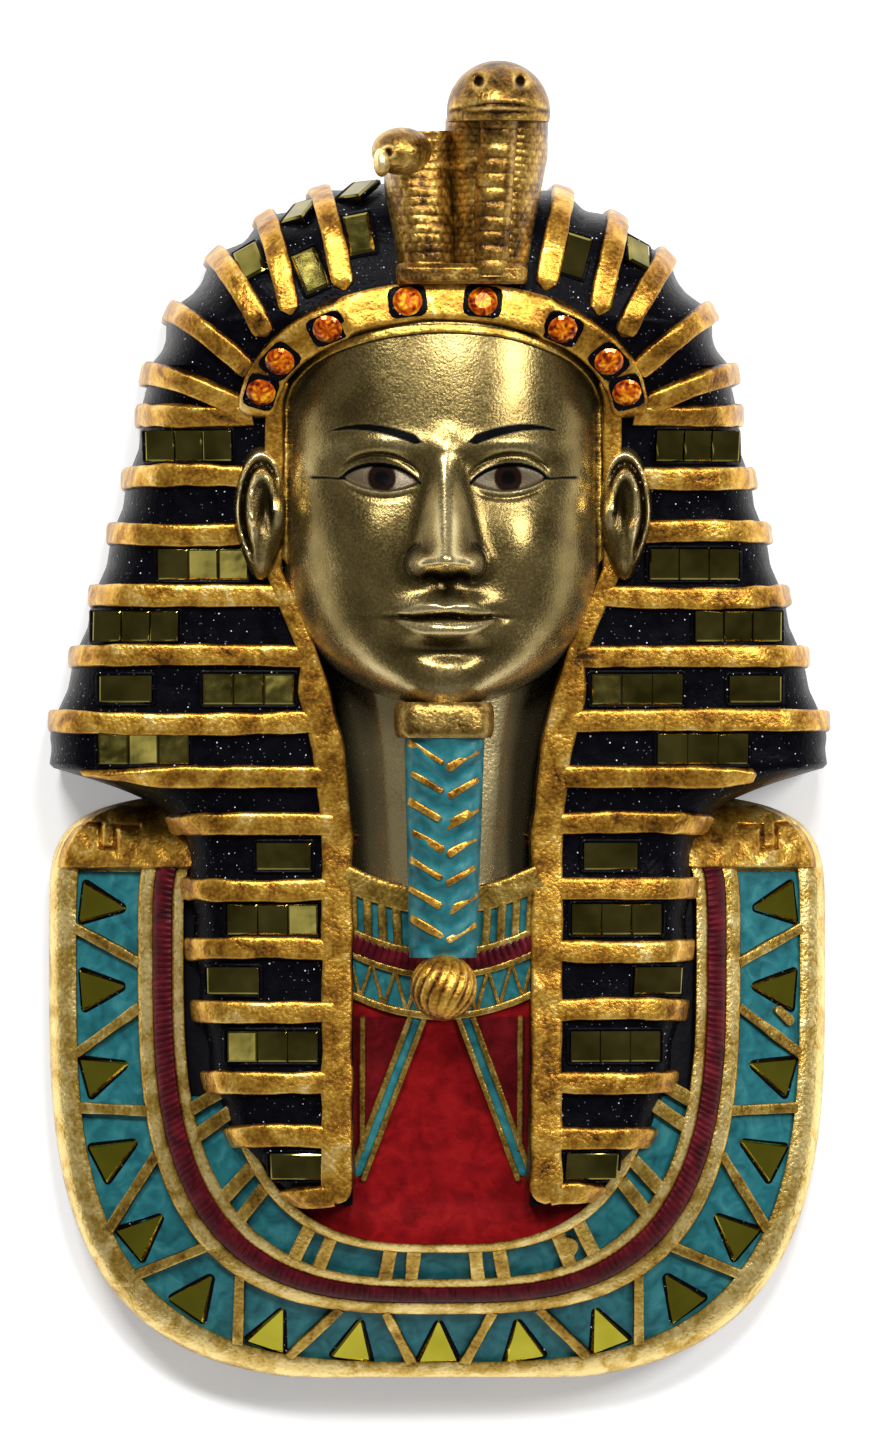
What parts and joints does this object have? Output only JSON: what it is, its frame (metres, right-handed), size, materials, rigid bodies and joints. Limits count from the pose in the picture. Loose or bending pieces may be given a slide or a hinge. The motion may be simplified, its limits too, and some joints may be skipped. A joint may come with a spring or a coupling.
{
  "type": "egyptian mummy mask souvenir",
  "caption": "Souvenir royal mummy mask cast in painted resin, flat-backed, with striped headcloth, false beard, brow emblems and broad collar set with glued mirror tiles and rhinestones.",
  "frame": {"origin": "on the flat back, at the middle of the mask's width and length", "axes": "+Z out of the face, +Y toward the crown, +X to the viewer's right; the mask lies on its back"},
  "size_m": [0.1306, 0.215, 0.071],
  "materials": {
    "gold_paint": "antiqued metallic gold paint over cast resin, satin, dark in the recesses",
    "bronze_paint": "smooth pale bronze metallic paint",
    "black_paint": "black paint with fine glitter",
    "teal_paint": "satin teal paint, mottled",
    "red_paint": "red paint with fine glitter",
    "maroon_paint": "glossy dark red paint",
    "bare_resin": "plain dark resin of the back",
    "dark_mirror": "gold tinted mirror mosaic",
    "bright_mirror": "gold tinted mirror",
    "rhinestone": "faceted amber rhinestone, foil backed"
  },
  "bodies": {
    "root": {"collar_mirror_01": "bright_mirror", "collar_mirror_02": "bright_mirror", "collar_mirror_03": "bright_mirror", "collar_mirror_04": "bright_mirror", "collar_mirror_05": "bright_mirror", "collar_mirror_06": "bright_mirror", "collar_mirror_07": "bright_mirror", "collar_mirror_08": "bright_mirror", "collar_mirror_09": "bright_mirror", "collar_mirror_10": "bright_mirror", "collar_mirror_11": "bright_mirror", "collar_mirror_12": "bright_mirror", "collar_mirror_13": "bright_mirror", "collar_mirror_14": "bright_mirror", "collar_mirror_15": "bright_mirror", "collar_mirror_16": "bright_mirror", "collar_mirror_17": "bright_mirror", "crown_tile_1": "dark_mirror", "crown_tile_2": "dark_mirror", "crown_tile_3": "dark_mirror", "crown_tile_4": "dark_mirror", "crown_tile_5": "dark_mirror", "crown_tile_6": "dark_mirror", "crown_tile_7": "dark_mirror", "gem_1": "rhinestone", "gem_2": "rhinestone", "gem_3": "rhinestone", "gem_4": "rhinestone", "gem_5": "rhinestone", "gem_6": "rhinestone", "gem_7": "rhinestone", "gem_8": "rhinestone", "mask_body": "gold_paint", "mirror_strip_01": "dark_mirror", "mirror_strip_02": "dark_mirror", "mirror_strip_03": "dark_mirror", "mirror_strip_04": "dark_mirror", "mirror_strip_05": "dark_mirror", "mirror_strip_06": "dark_mirror", "mirror_strip_08": "dark_mirror", "mirror_strip_09": "dark_mirror", "mirror_strip_11": "dark_mirror", "mirror_strip_12": "dark_mirror", "mirror_strip_15": "dark_mirror", "mirror_strip_16": "dark_mirror", "mirror_strip_19": "dark_mirror", "mirror_strip_20": "dark_mirror", "mirror_tile_07": "dark_mirror", "mirror_tile_10": "dark_mirror", "mirror_tile_13": "dark_mirror", "mirror_tile_14": "dark_mirror", "mirror_tile_17": "dark_mirror", "mirror_tile_18": "dark_mirror", "mirror_tile_21": "dark_mirror", "mirror_tile_22": "dark_mirror"}
  },
  "joints": []
}
